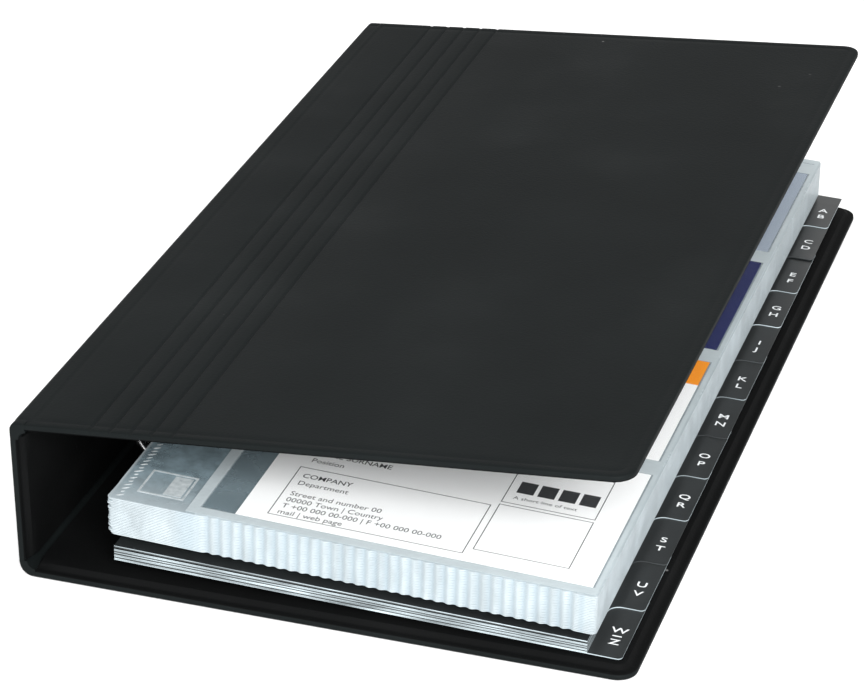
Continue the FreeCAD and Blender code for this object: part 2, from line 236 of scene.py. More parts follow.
def sheet_placement(node, thickness):
    """Place and width of a flat sheet that slopes down from its bound edge."""
    low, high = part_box(node)
    drop = high.z - low.z - thickness
    slope = -math.atan2(drop, high.x - low.x)
    along = Vector((math.cos(slope), 0, math.sin(slope)))
    out = Vector((-math.sin(slope), 0, math.cos(slope)))
    origin = Vector((low.x, low.y, high.z - thickness * math.cos(slope)))
    return placement(origin, along, out), (high.x - low.x) / math.cos(slope)


# ---- pieces and meshes --------------------------------------------------------------

def add_object(name, mesh, materials):
    piece = bpy.data.objects.new(name, mesh)
    bpy.context.scene.collection.objects.link(piece)
    for material in materials:
        if material.name not in piece.data.materials:
            piece.data.materials.append(material)
    return piece


def shade(mesh, angle):
    """Smooth faces with hard edges where they meet at more than the angle."""
    bm = bmesh.new()
    bm.from_mesh(mesh)
    for face in bm.faces:
        face.smooth = True
    for edge in bm.edges:
        edge.smooth = len(edge.link_faces) == 2 and edge.calc_face_angle() < angle
    bm.to_mesh(mesh)
    bm.free()


def finish_piece(name, body, bm, materials, nodes=(), matrix=None, hard_angle=35):
    bmesh.ops.remove_doubles(bm, verts=bm.verts, dist=0.002 * MM)
    bmesh.ops.dissolve_degenerate(bm, edges=bm.edges, dist=0.001 * MM)
    if matrix:
        bmesh.ops.transform(bm, matrix=matrix, verts=bm.verts)
    bmesh.ops.recalc_face_normals(bm, faces=bm.faces)
    mesh = bpy.data.meshes.new(name)
    bm.to_mesh(mesh)
    bm.free()
    shade(mesh, math.radians(hard_angle))
    piece = add_object(name, mesh, materials)
    if body:
        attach(piece, body)
    if nodes:
        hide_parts(*nodes)
    return piece


def bridge(bm, loops):
    """Quads between closed loops with the same number of points."""
    rings = [[bm.verts.new(point) for point in loop] for loop in loops]
    count = len(rings[0])
    for first, second in zip(rings, rings[1:]):
        for n in range(count):
            m = (n + 1) % count
            bm.faces.new((first[n], first[m], second[m], second[n]))
    return rings


def arc(centre_x, centre_y, radius, start, end, steps):
    points = []
    for n in range(steps + 1):
        a = math.radians(start + (end - start) * n / steps)
        points.append((centre_x + radius * math.cos(a), centre_y + radius * math.sin(a)))
    return points


def clamp(value, low, high):
    return max(low, min(high, value))


def groove_depth_at(u, grooved):
    s = sizes()
    if not grooved:
        return 0
    depth = 0
    for n in range(s.groove_count):
        away = abs(u - (s.groove_first + n * s.groove_pitch - s.hinge_zone)) / (s.groove_width / 2)
        if away < 1:
            depth = s.groove_depth * (0.5 + 0.5 * math.cos(math.pi * away))
    return depth


def panel_columns(width, grooved):
    """Places across a cover where its mesh has a line, close together over the grooves."""
    s = sizes()
    columns = [6 * MM]
    if grooved:
        for n in range(s.groove_count):
            middle = s.groove_first + n * s.groove_pitch - s.hinge_zone
            columns += [middle + share * s.groove_width / 2 for share in GROOVE_LINES]
    spare = width - columns[-1] - s.corner_radius
    return columns + [columns[-1] + spare * n / 6 for n in range(1, 6)]


def panel_loop(width, half, inset, hinge_inset, columns, rows, two_hinges):
    """One closed line round a cover panel, each point with the kind of edge it belongs to."""
    corner = sizes().corner_radius
    right = width - hinge_inset
    points = [(hinge_inset, inset - half, "end")]
    points += [(column, inset - half, "end") for column in columns]
    if two_hinges:
        points += [(right, inset - half, "end")]
        points += [(right, clamp(row, inset - half, half - inset), "hinge") for row in rows]
        points += [(right, half - inset, "end")]
    else:
        radius = max(corner - inset, 0)
        near = arc(width - corner, corner - half, radius, -90, 0, 10)
        far = arc(width - corner, half - corner, radius, 0, 90, 10)
        points += [(u, v, "end") for u, v in near]
        points += [(width - inset, row, "end") for row in rows]
        points += [(u, v, "end") for u, v in far]
    points += [(column, half - inset, "end") for column in reversed(columns)]
    points += [(hinge_inset, half - inset, "end")]
    points += [(hinge_inset, clamp(row, inset - half, half - inset), "hinge") for row in reversed(rows)]
    return points


def panel_mesh(width, grooved=False, two_hinges=False, liner=False):
    """One skin of a cover: crowned face, pressed weld line, and the room for the board."""
    s = sizes()
    half = half_length()
    columns = [width / 3, width / 2, width * 2 / 3] if two_hinges else panel_columns(width, grooved)
    profile = LINING_PROFILE if liner else EDGE_PROFILE
    last = profile[-1][0] * MM
    rows = [(half - last) * share for share in (-0.999, -0.75, -0.5, -0.25, 0, 0.25, 0.5, 0.75, 0.999)]
    middle = s.cover_thickness / 2

    def lift(height, u, kind):
        if kind == "end":
            height += groove_depth_at(u, grooved) * max(0, 1 - height / (0.4 * MM))
        return s.cover_thickness - height if liner else height

    loops = []
    for height in (s.skin_thickness, middle):
        loop = panel_loop(width, half, s.weld_rim, s.hinge_rim, columns, rows, two_hinges)
        loops.append([(u, v, s.cover_thickness - height if liner else height) for u, v, _ in loop])
    hinge_profile = LINING_HINGE_PROFILE if liner else HINGE_PROFILE
    for (inset, end_height), (hinge_inset, hinge_height) in zip(profile, hinge_profile):
        loop = panel_loop(width, half, inset * MM, hinge_inset * MM, columns, rows, two_hinges)
        heights = {"end": end_height * MM, "hinge": hinge_height * MM}
        loops.append([(u, v, lift(heights[kind], u, kind)) for u, v, kind in loop])
    bm = bmesh.new()
    rings = bridge(bm, loops)
    bm.faces.new(rings[0])

    hinge_last = HINGE_PROFILE[-1][0] * MM
    right = width - (hinge_last if two_hinges else s.corner_radius)
    us = [hinge_last] + columns + [right]
    vs = [last - half] + rows + [half - last]
    grid = [[bm.verts.new((u, v, lift(0, u, "end"))) for v in vs] for u in us]
    for i in range(len(us) - 1):
        for j in range(len(vs) - 1):
            bm.faces.new((grid[i][j], grid[i + 1][j], grid[i + 1][j + 1], grid[i][j + 1]))
    return bm


def web_section(outer_round, press):
    """Half-round section of a web: its outer line from cover to spine, then its hollow back."""
    s = sizes()
    zone, r = s.hinge_zone, outer_round
    bend = [(x, z) for x, z in arc(r, r, r - press, 270, 180, 10)]
    outer = [(zone, press), ((zone + r) / 2, press)] + bend + [(press, (zone + r) / 2), (press, zone)]
    inner = arc(zone, zone, zone - s.web_thickness, 180, 270, len(outer) - 1)
    shares = [n / (len(outer) - 1) for n in range(len(outer))]
    return list(zip(outer, shares)) + list(zip(inner, reversed(shares)))


def web_mesh(outer_round, place):
    """A web along a binder corner; place(x, z, share) puts a point of its section."""
    half = half_length()
    rows = [(inset * MM - half, height) for inset, height in EDGE_PROFILE[2:]]
    rows += [(half - inset * MM, height) for inset, height in reversed(EDGE_PROFILE[2:])]
    loops = []
    for v, height in rows:
        loop = []
        for (x, z), share in web_section(outer_round, height * MM):
            point = place(x, z, share)
            loop.append((point.x, v, point.z))
        loops.append(loop)
    bm = bmesh.new()
    rings = bridge(bm, loops)
    bm.faces.new(rings[0])
    bm.faces.new(rings[-1])
    return bm


def slot_loop(start, end, y, width):
    radius = width / 2
    return arc(end - radius, y, radius, -90, 90, 10) + arc(start + radius, y, radius, 90, 270, 10)


def ring_places():
    s = sizes()
    inner = s.ring_middle_spacing / 2
    outer = inner + s.ring_outer_spacing
    return [-outer, -inner, inner, outer]


def flat_sheet(outline, holes, thickness):
    """A sheet of one thickness from its outline and its punched holes."""
    bm = bmesh.new()
    for loop in [outline] + holes:
        low = [bm.verts.new((x, y, 0)) for x, y in loop]
        high = [bm.verts.new((x, y, thickness)) for x, y in loop]
        count = len(loop)
        for n in range(count):
            m = (n + 1) % count
            bm.faces.new((low[n], low[m], high[m], high[n]))
    for level in (0, thickness):
        rim = [e for e in bm.edges if all(abs(v.co.z - level) < 1e-9 for v in e.verts)]
        bmesh.ops.triangle_fill(bm, use_beauty=True, edges=rim)
    return bm


def mark_edges(bm):
    """Gives the cut edges of a flat sheet its second material."""
    bm.normal_update()
    for face in bm.faces:
        face.material_index = 0 if abs(face.normal.z) > 0.5 else 1


def flat_text(words, align, bold):
    curve = bpy.data.curves.new("letters", "FONT")
    curve.body = words
    curve.align_x = align
    curve.resolution_u = 3
    curve.offset = bold
    curve.extrude = 0.05
    carrier = bpy.data.objects.new("letters", curve)
    bpy.context.scene.collection.objects.link(carrier)
    bpy.context.view_layer.update()
    mesh = bpy.data.meshes.new_from_object(carrier.evaluated_get(bpy.context.evaluated_depsgraph_get()))
    bpy.data.objects.remove(carrier)
    return mesh


def cap_height():
    """Height of a capital in text of size one."""
    mesh = flat_text("H", "LEFT", 0)
    top = max(vertex.co.y for vertex in mesh.vertices)
    bpy.data.meshes.remove(mesh)
    return top


def text_mesh(bm, words, height, centre, thickness, bold=0.0, align="CENTER", squeeze=1.0):
    """Adds raised letters to a mesh; centre is the place of their baseline."""
    mesh = flat_text(words, align, bold)
    scale = height / cap_height()
    place = Matrix.Translation(centre) @ Matrix.Diagonal((scale * squeeze, scale, thickness / 0.1, 1))
    mesh.transform(place)
    bm.from_mesh(mesh)
    bpy.data.meshes.remove(mesh)


def add_bar(bm, x0, x1, y0, y1, z0, z1):
    """A thin flat bar, as a printed rule or a raised frame side."""
    centre = Vector(((x0 + x1) / 2, (y0 + y1) / 2, (z0 + z1) / 2))
    size = Matrix.Diagonal((x1 - x0, y1 - y0, z1 - z0, 1))
    bmesh.ops.create_cube(bm, size=1, matrix=Matrix.Translation(centre) @ size)


def add_frame(bm, x0, x1, y0, y1, width, z0, z1):
    add_bar(bm, x0, x1, y0, y0 + width, z0, z1)
    add_bar(bm, x0, x1, y1 - width, y1, z0, z1)
    add_bar(bm, x0, x0 + width, y0 + width, y1 - width, z0, z1)
    add_bar(bm, x1 - width, x1, y0 + width, y1 - width, z0, z1)


# ---- node trees ---------------------------------------------------------------------

def add_node(tree, kind, inputs=None, **settings):
    node = tree.nodes.new(kind)
    for name, value in settings.items():
        setattr(node, name, value)
    for key, value in (inputs or {}).items():
        socket = node.inputs[key]
        if isinstance(value, bpy.types.NodeSocket):
            tree.links.new(value, socket)
        else:
            socket.default_value = value
    return node


def math_node(tree, operation, a, b=0.0, clamp_it=False):
    return add_node(tree, "ShaderNodeMath", {0: a, 1: b}, operation=operation, use_clamp=clamp_it).outputs[0]


def mix_colour(tree, mask, first, second):
    node = add_node(tree, "ShaderNodeMix", data_type="RGBA")
    for key, value in ((0, mask), (6, first), (7, second)):
        if isinstance(value, bpy.types.NodeSocket):
            tree.links.new(value, node.inputs[key])
        elif key == 0:
            node.inputs[key].default_value = value
        else:
            node.inputs[key].default_value = (*value[:3], 1)
    return node.outputs[2]


def mix_value(tree, mask, first, second):
    return add_node(tree, "ShaderNodeMapRange", {0: mask, 3: first, 4: second}).outputs[0]


def new_group(name, kind, inputs, outputs):
    """An empty node group with named sockets, and its two end nodes."""
    tree = bpy.data.node_groups.new(name, kind)
    for socket_name, socket_type, default in inputs:
        socket = tree.interface.new_socket(socket_name, in_out="INPUT", socket_type=socket_type)
        if default is not None:
            socket.default_value = default
    for socket_name, socket_type in outputs:
        tree.interface.new_socket(socket_name, in_out="OUTPUT", socket_type=socket_type)
    return tree, tree.nodes.new("NodeGroupInput"), tree.nodes.new("NodeGroupOutput")


def shader_group(name, inputs, outputs):
    return new_group(name, "ShaderNodeTree", inputs, outputs)


def use_group(tree, maker, inputs):
    """Places a shared effect in a material, building its group the first time."""
    group = bpy.data.node_groups.get(maker.__name__) or maker()
    return add_node(tree, "ShaderNodeGroup", inputs, node_tree=group)


def vinyl_grain():
    """Fine pressed grain: rounded cells broken up by noise."""
    tree, given, result = shader_group(
        "vinyl_grain",
        [("Vector", "NodeSocketVector", None), ("Scale", "NodeSocketFloat", 1500.0)],
        [("Height", "NodeSocketFloat"), ("Mottle", "NodeSocketFloat")])
    vector, scale = given.outputs["Vector"], given.outputs["Scale"]
    cells = add_node(tree, "ShaderNodeTexVoronoi", {"Vector": vector, "Scale": scale}, feature="SMOOTH_F1")
    fine = add_node(tree, "ShaderNodeTexNoise", {"Vector": vector, "Scale": scale, "Detail": 3.0})
    broad = add_node(tree, "ShaderNodeTexNoise", {"Vector": vector, "Scale": 28.0, "Detail": 4.0})
    tree.links.new(math_node(tree, "ADD", cells.outputs[0], fine.outputs[0]), result.inputs["Height"])
    tree.links.new(broad.outputs[0], result.inputs["Mottle"])
    return tree


def rub_marks():
    """Faint rubbed patches and specks of dust, as a mask."""
    tree, given, result = shader_group(
        "rub_marks",
        [("Vector", "NodeSocketVector", None), ("Scale", "NodeSocketFloat", 40.0),
         ("Amount", "NodeSocketFloat", 0.5)],
        [("Mask", "NodeSocketFloat"), ("Specks", "NodeSocketFloat")])
    vector, scale = given.outputs["Vector"], given.outputs["Scale"]
    patches = add_node(tree, "ShaderNodeTexNoise", {"Vector": vector, "Scale": scale, "Detail": 6.0})
    mask = add_node(tree, "ShaderNodeMapRange", {0: patches.outputs[0], 1: 0.52, 2: 0.75})
    fine_scale = math_node(tree, "MULTIPLY", scale, 3.0)
    dots = add_node(tree, "ShaderNodeTexVoronoi", {"Vector": vector, "Scale": fine_scale})
    specks = add_node(tree, "ShaderNodeMapRange", {0: dots.outputs[0], 1: 0.05, 2: 0.035})
    rare = add_node(tree, "ShaderNodeMapRange", {0: patches.outputs[0], 1: 0.6, 2: 0.64})
    amount = given.outputs["Amount"]
    tree.links.new(math_node(tree, "MULTIPLY", mask.outputs[0], amount), result.inputs["Mask"])
    tree.links.new(math_node(tree, "MULTIPLY", specks.outputs[0], rare.outputs[0]), result.inputs["Specks"])
    return tree


def band():
    """One where a value lies between two others, with soft sides."""
    tree, given, result = shader_group(
        "band",
        [("Value", "NodeSocketFloat", 0.0), ("Low", "NodeSocketFloat", 0.0),
         ("High", "NodeSocketFloat", 1.0), ("Soft", "NodeSocketFloat", 0.0001)],
        [("Mask", "NodeSocketFloat")])
    value, soft = given.outputs["Value"], given.outputs["Soft"]
    above = math_node(tree, "DIVIDE", math_node(tree, "SUBTRACT", value, given.outputs["Low"]), soft, True)
    below = math_node(tree, "DIVIDE", math_node(tree, "SUBTRACT", given.outputs["High"], value), soft, True)
    tree.links.new(math_node(tree, "MULTIPLY", above, below), result.inputs["Mask"])
    return tree


def streaks():
    """Long thin streaks along Y and X, as on sheared plastic or rolled metal."""
    tree, given, result = shader_group(
        "streaks",
        [("Vector", "NodeSocketVector", None), ("Along", "NodeSocketFloat", 60.0),
         ("Across", "NodeSocketFloat", 3000.0)],
        [("Mask", "NodeSocketFloat")])
    combined = add_node(tree, "ShaderNodeCombineXYZ", {
        0: given.outputs["Along"], 1: given.outputs["Along"], 2: given.outputs["Across"]})
    scaled = add_node(tree, "ShaderNodeVectorMath", {0: given.outputs["Vector"], 1: combined.outputs[0]},
                      operation="MULTIPLY")
    noise = add_node(tree, "ShaderNodeTexNoise", {"Vector": scaled.outputs[0], "Scale": 1.0, "Detail": 5.0})
    contrast = add_node(tree, "ShaderNodeMapRange", {0: noise.outputs[0], 1: 0.35, 2: 0.68})
    tree.links.new(contrast.outputs[0], result.inputs["Mask"])
    return tree


def fibres():
    """Paper fibres: fine noise for bump, and a faint mottle for colour."""
    tree, given, result = shader_group(
        "fibres",
        [("Vector", "NodeSocketVector", None), ("Scale", "NodeSocketFloat", 1200.0)],
        [("Height", "NodeSocketFloat"), ("Mottle", "NodeSocketFloat")])
    vector, scale = given.outputs["Vector"], given.outputs["Scale"]
    fine = add_node(tree, "ShaderNodeTexNoise", {"Vector": vector, "Scale": scale, "Detail": 8.0})
    broad = add_node(tree, "ShaderNodeTexNoise", {"Vector": vector, "Scale": 90.0, "Detail": 3.0})
    tree.links.new(fine.outputs[0], result.inputs["Height"])
    tree.links.new(broad.outputs[0], result.inputs["Mottle"])
    return tree


def pocket_windows():
    """Where a pocket page is a clear pocket and not a welded border."""
    s = sizes()
    tree, given, result = shader_group(
        "pocket_windows",
        [("Across", "NodeSocketFloat", 0.0), ("Along", "NodeSocketFloat", 0.0),
         ("Margin", "NodeSocketFloat", 0.0), ("Soft", "NodeSocketFloat", 0.0004)],
        [("Mask", "NodeSocketFloat")])
    margin, soft = given.outputs["Margin"], given.outputs["Soft"]
    along = math_node(tree, "SUBTRACT", given.outputs["Along"], 3.8 * MM)
    repeated = math_node(tree, "FLOORED_MODULO", math_node(tree, "ADD", along, 2 * MM), s.card_pitch)
    low = math_node(tree, "SUBTRACT", 2 * MM, margin)
    rows = use_group(tree, band, {"Value": repeated, "Low": low, "High": 57 * MM, "Soft": soft})
    right = math_node(tree, "ADD", 115 * MM, margin)
    columns = use_group(tree, band, {
        "Value": given.outputs["Across"], "Low": s.strip_width, "High": right, "Soft": soft})
    inside = use_group(tree, band, {
        "Value": given.outputs["Along"], "Low": 2 * MM, "High": 253 * MM, "Soft": soft})
    mask = math_node(tree, "MULTIPLY", rows.outputs[0], columns.outputs[0])
    tree.links.new(math_node(tree, "MULTIPLY", mask, inside.outputs[0]), result.inputs["Mask"])
    return tree


# ---- materials ----------------------------------------------------------------------

def new_material(name):
    """A material with a cleared Principled shader, and its object coordinates."""
    material = bpy.data.materials.new(name)
    material.use_nodes = True
    tree = material.node_tree
    shader = tree.nodes["Principled BSDF"]
    place = tree.nodes.new("ShaderNodeTexCoord").outputs["Object"]
    return material, tree, shader, place


def link_bump(tree, shader, height, strength, distance):
    bump = add_node(tree, "ShaderNodeBump", {"Height": height, "Strength": strength, "Distance": distance})
    tree.links.new(bump.outputs[0], shader.inputs["Normal"])


def vinyl_material(name, tint, grain, roughness, specular):
    material, tree, shader, place = new_material(name)
    pattern = use_group(tree, vinyl_grain, {"Vector": place, "Scale": grain})
    wear = use_group(tree, rub_marks, {"Vector": place, "Scale": 30.0, "Amount": 0.6})
    deep = [c * 0.8 for c in tint]
    pale = [c * 1.35 + 0.002 for c in tint]
    base = mix_colour(tree, pattern.outputs["Mottle"], deep, pale)
    dusty = mix_colour(tree, wear.outputs["Specks"], base, (0.12, 0.12, 0.12))
    tree.links.new(dusty, shader.inputs["Base Color"])
    rubbed = mix_value(tree, wear.outputs["Mask"], roughness, roughness - 0.1)
    tree.links.new(rubbed, shader.inputs["Roughness"])
    link_bump(tree, shader, pattern.outputs["Height"], 0.35, 0.00012)
    shader.inputs["Specular IOR Level"].default_value = specular
    return material


def board_material():
    material, tree, shader, place = new_material("greyboard")
    paper = use_group(tree, fibres, {"Vector": place, "Scale": 700.0})
    base = mix_colour(tree, paper.outputs["Mottle"], (0.30, 0.28, 0.25), (0.48, 0.46, 0.42))
    tree.links.new(base, shader.inputs["Base Color"])
    tree.links.new(mix_value(tree, paper.outputs["Height"], 0.8, 0.95), shader.inputs["Roughness"])
    link_bump(tree, shader, paper.outputs["Height"], 0.5, 0.0001)
    return material


def metal_material(name, dark, pale, rough_low, rough_high):
    material, tree, shader, place = new_material(name)
    lines = use_group(tree, streaks, {"Vector": place, "Along": 120.0, "Across": 2500.0})
    wear = use_group(tree, rub_marks, {"Vector": place, "Scale": 160.0, "Amount": 1.0})
    base = mix_colour(tree, lines.outputs["Mask"], dark, pale)
    tree.links.new(base, shader.inputs["Base Color"])
    tree.links.new(mix_value(tree, wear.outputs["Mask"], rough_low, rough_high), shader.inputs["Roughness"])
    link_bump(tree, shader, lines.outputs["Mask"], 0.15, 0.00003)
    shader.inputs["Metallic"].default_value = 1.0
    return material


def from_corner(tree, place, corner):
    """Object coordinates counted from one corner of a flat piece."""
    mapping = add_node(tree, "ShaderNodeMapping", {"Vector": place, "Location": [-c for c in corner]})
    return add_node(tree, "ShaderNodeSeparateXYZ", {0: mapping.outputs[0]}).outputs


def page_material(name, top):
    """Pocket page: clear grey pockets and strip, milky welded borders, paler to the near end."""
    s, c = sizes(), colours()
    material, tree, shader, place = new_material(name)
    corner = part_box("pocket_page_01")[0]
    across, along, _ = from_corner(tree, place, (corner.x, corner.y, 0))
    window = use_group(tree, pocket_windows, {"Across": across, "Along": along, "Margin": 0.3 * MM})
    strip = use_group(tree, band, {
        "Value": across, "Low": 0.2 * MM, "High": s.strip_width, "Soft": 0.6 * MM})
    near_end = add_node(tree, "ShaderNodeMapRange", {0: along, 1: 1.0 * MM, 2: 17 * MM, 3: 0.25, 4: 1.0})
    strip_mask = math_node(tree, "MULTIPLY", strip.outputs[0], near_end.outputs[0])
    haze = add_node(tree, "ShaderNodeTexNoise", {"Vector": place, "Scale": 55.0, "Detail": 5.0})
    cloud = add_node(tree, "ShaderNodeMapRange", {0: haze.outputs[0], 1: 0.3, 2: 0.75})
    brushed = use_group(tree, streaks, {"Vector": place, "Along": 300.0, "Across": 300.0})
    white, dark = tuple(c.weld), tuple(c.pocket)
    border = mix_colour(tree, cloud.outputs[0], [v * 0.62 for v in white], [v * 0.82 for v in white])
    glassy = mix_colour(tree, cloud.outputs[0], [v * 0.8 for v in dark], [v * 1.3 for v in dark])
    strip_tone = mix_colour(tree, brushed.outputs[0], [v * 1.05 for v in dark], [v * 1.7 for v in dark])
    base = mix_colour(tree, strip_mask, border, strip_tone)
    base = mix_colour(tree, window.outputs[0], base, glassy)
    tree.links.new(base, shader.inputs["Base Color"])
    clear = math_node(tree, "MAXIMUM", window.outputs[0], strip_mask)
    tree.links.new(mix_value(tree, clear, 1.0, 0.55 if top else 0.8), shader.inputs["Alpha"])
    tree.links.new(mix_value(tree, cloud.outputs[0], 0.2, 0.36), shader.inputs["Roughness"])
    link_bump(tree, shader, haze.outputs[0], 0.2, 0.0003)
    shader.inputs["IOR"].default_value = 1.49
    return material


def page_edge_material():
    """Cut edges of the pages: milky, with painted shade in the hollows of the flutes."""
    s = sizes()
    white = tuple(colours().weld)
    material, tree, shader, place = new_material("pocket_plastic_edge")
    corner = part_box("pocket_page_01")[0]
    across, _, _ = from_corner(tree, place, (corner.x, corner.y, 0))
    # Painted shade: in each flute hollow the colour darkens towards the shaded tint.
    wave = math_node(tree, "MULTIPLY", math_node(tree, "SUBTRACT", across, s.flute_start),
                     2 * math.pi / s.flute_pitch)
    crest = math_node(tree, "COSINE", wave)
    hollow = add_node(tree, "ShaderNodeMapRange", {0: crest, 1: 0.6, 2: -1.0, 3: 0.0, 4: 0.8})
    fluted = use_group(tree, band, {
        "Value": across, "Low": s.flute_start - 1.5 * MM, "High": 116 * MM, "Soft": 1.5 * MM})
    seam = use_group(tree, band, {
        "Value": across, "Low": 15.5 * MM, "High": s.flute_start + 0.5 * MM, "Soft": 3.0 * MM})
    cloud = use_group(tree, streaks, {"Vector": place, "Along": 260.0, "Across": 120.0})
    pale = mix_colour(tree, cloud.outputs[0], [v * 0.50 for v in white], [v * 0.66 for v in white])
    shaded = [v * t for v, t in zip(white, (0.46, 0.50, 0.53))]
    soft_seam = math_node(tree, "MULTIPLY", seam.outputs[0], 0.55)
    base = mix_colour(tree, soft_seam, pale, shaded)
    base = mix_colour(tree, math_node(tree, "MULTIPLY", hollow.outputs[0], fluted.outputs[0]), base, shaded)
    tree.links.new(base, shader.inputs["Base Color"])
    tree.links.new(mix_value(tree, cloud.outputs[0], 0.35, 0.5), shader.inputs["Roughness"])
    link_bump(tree, shader, cloud.outputs[0], 0.2, 0.0001)
    return material


def film_material():
    """Clear front film, with a pressed, lighter lattice where it is welded round the cards."""
    material, tree, shader, place = new_material("clear_film")
    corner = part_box("pocket_page_01")[0]
    across, along, _ = from_corner(tree, place, (corner.x, corner.y, 0))
    window = use_group(tree, pocket_windows, {"Across": across, "Along": along, "Margin": 0.6 * MM})
    knurl = add_node(tree, "ShaderNodeTexVoronoi", {"Vector": place, "Scale": 900.0})
    haze = add_node(tree, "ShaderNodeTexNoise", {"Vector": place, "Scale": 120.0, "Detail": 4.0})
    weld = math_node(tree, "SUBTRACT", 1.0, window.outputs[0])
    base = mix_colour(tree, haze.outputs[0], (0.50, 0.57, 0.60), (0.66, 0.73, 0.75))
    tree.links.new(base, shader.inputs["Base Color"])
    tree.links.new(mix_value(tree, weld, 0.02, 0.7), shader.inputs["Alpha"])
    tree.links.new(mix_value(tree, haze.outputs[0], 0.12, 0.3), shader.inputs["Roughness"])
    pressed = math_node(tree, "MULTIPLY", knurl.outputs[0], weld)
    link_bump(tree, shader, pressed, 0.4, 0.0001)
    shader.inputs["Specular IOR Level"].default_value = 0.15
    return material


def weld_material():
    """Milky, slightly raised plastic of dotted welds and embossing."""
    material, tree, shader, place = new_material("weld_relief")
    haze = add_node(tree, "ShaderNodeTexNoise", {"Vector": place, "Scale": 700.0, "Detail": 3.0})
    base = mix_colour(tree, haze.outputs[0], (0.60, 0.67, 0.69), (0.86, 0.90, 0.91))
    tree.links.new(base, shader.inputs["Base Color"])
    tree.links.new(mix_value(tree, haze.outputs[0], 0.2, 0.4), shader.inputs["Roughness"])
    tree.links.new(mix_value(tree, haze.outputs[0], 0.35, 0.7), shader.inputs["Alpha"])
    return material


def index_material():
    material, tree, shader, place = new_material("index_plastic")
    tint = tuple(colours().index)
    pattern = use_group(tree, vinyl_grain, {"Vector": place, "Scale": 2600.0})
    wear = use_group(tree, rub_marks, {"Vector": place, "Scale": 60.0, "Amount": 1.0})
    base = mix_colour(tree, pattern.outputs["Mottle"], [v * 0.7 for v in tint], [v * 1.6 for v in tint])
    dusty = mix_colour(tree, wear.outputs["Specks"], base, (0.10, 0.10, 0.10))
    tree.links.new(dusty, shader.inputs["Base Color"])
    tree.links.new(mix_value(tree, wear.outputs["Mask"], 0.42, 0.3), shader.inputs["Roughness"])
    link_bump(tree, shader, pattern.outputs["Height"], 0.2, 0.00006)
    return material


def index_edge_material(name, share):
    """Sheared edge of an index sheet; some shear pale where the plastic tears, some clean. The pale tone is also
    a painted highlight along the edges.
    """
    material, tree, shader, place = new_material(name)
    pale = tuple(colours().index_edge)
    lines = use_group(tree, streaks, {"Vector": place, "Along": 60.0, "Across": 900.0})
    dull = [v * share * 0.5 for v in pale]
    # Paler streaks: partly whitened plastic, partly a painted highlight on the edge.
    whitened_and_highlit = [v * share * 1.6 for v in pale]
    base = mix_colour(tree, lines.outputs["Mask"], dull, whitened_and_highlit)
    tree.links.new(base, shader.inputs["Base Color"])
    tree.links.new(mix_value(tree, lines.outputs["Mask"], 0.6, 0.35), shader.inputs["Roughness"])
    link_bump(tree, shader, lines.outputs["Mask"], 0.4, 0.0001)
    return material


def print_material(name, tint, spread):
    """Screen print that lies a little unevenly on its plastic or paper."""
    material, tree, shader, place = new_material(name)
    noise = add_node(tree, "ShaderNodeTexNoise", {"Vector": place, "Scale": 1500.0, "Detail": 3.0})
    thin = [v * (1 - spread) for v in tint]
    full = [v * (1 + spread) for v in tint]
    base = mix_colour(tree, noise.outputs[0], thin, full)
    tree.links.new(base, shader.inputs["Base Color"])
    tree.links.new(mix_value(tree, noise.outputs[0], 0.35, 0.6), shader.inputs["Roughness"])
    return material


def card_material(name, node, tint, blocks):
    """Card stock; each block is an area in another colour, counted from the card's near corner."""
    material, tree, shader, place = new_material(name)
    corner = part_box(node)[0]
    across, along, _ = from_corner(tree, place, (corner.x, corner.y, 0))
    paper = use_group(tree, fibres, {"Vector": place, "Scale": 1600.0})
    base = mix_colour(tree, paper.outputs["Mottle"], [v * 0.96 for v in tint], tint)
    for (x0, x1, y0, y1), block_tint in blocks:
        wide = use_group(tree, band, {"Value": across, "Low": x0 * MM, "High": x1 * MM, "Soft": 0.05 * MM})
        long = use_group(tree, band, {"Value": along, "Low": y0 * MM, "High": y1 * MM, "Soft": 0.05 * MM})
        mask = math_node(tree, "MULTIPLY", wide.outputs[0], long.outputs[0])
        base = mix_colour(tree, mask, base, block_tint)
    tree.links.new(base, shader.inputs["Base Color"])
    tree.links.new(mix_value(tree, paper.outputs["Height"], 0.4, 0.6), shader.inputs["Roughness"])
    link_bump(tree, shader, paper.outputs["Height"], 0.15, 0.00002)
    shader.inputs["Specular IOR Level"].default_value = 0.08
    return material


def floor_material():
    material, tree, shader, place = new_material("studio_floor")
    mottle = add_node(tree, "ShaderNodeTexNoise", {"Vector": place, "Scale": 3.0, "Detail": 3.0})
    base = mix_colour(tree, mottle.outputs[0], (0.93, 0.93, 0.93), (0.96, 0.96, 0.96))
    tree.links.new(base, shader.inputs["Base Color"])
    shader.inputs["Roughness"].default_value = 0.9
    return material


MATERIALS = {
    "vinyl": lambda: vinyl_material("cover_vinyl_black", tuple(colours().vinyl), 1500.0, 0.62, 0.05),
    "liner": lambda: vinyl_material("liner_vinyl_black", tuple(colours().liner), 2200.0, 0.66, 0.03),
    "board": board_material,
    "sheet": lambda: metal_material("plated_sheet_steel", (0.42, 0.42, 0.44), (0.66, 0.66, 0.67), 0.22, 0.4),
    "rivet": lambda: metal_material("rivet_steel", (0.40, 0.40, 0.42), (0.60, 0.60, 0.61), 0.28, 0.45),
    "wire": lambda: metal_material("nickel_wire", (0.60, 0.60, 0.61), (0.78, 0.78, 0.78), 0.14, 0.28),
    "top_page": lambda: page_material("pocket_plastic_top", True),
    "page": lambda: page_material("pocket_plastic", False),
    "page_edge": page_edge_material,
    "film": film_material,
    "weld": weld_material,
    "index": index_material,
    "index_edge": lambda: index_edge_material("index_pale_highlit_edge", 1.0),
    "index_edge_clean": lambda: index_edge_material("index_clean_edge", 0.12),
    "letters": lambda: print_material("letter_print", tuple(colours().letters), 0.1),
    "ink": lambda: print_material("card_ink", tuple(colours().ink), 0.3),
    "floor": floor_material,
}
_made = {}


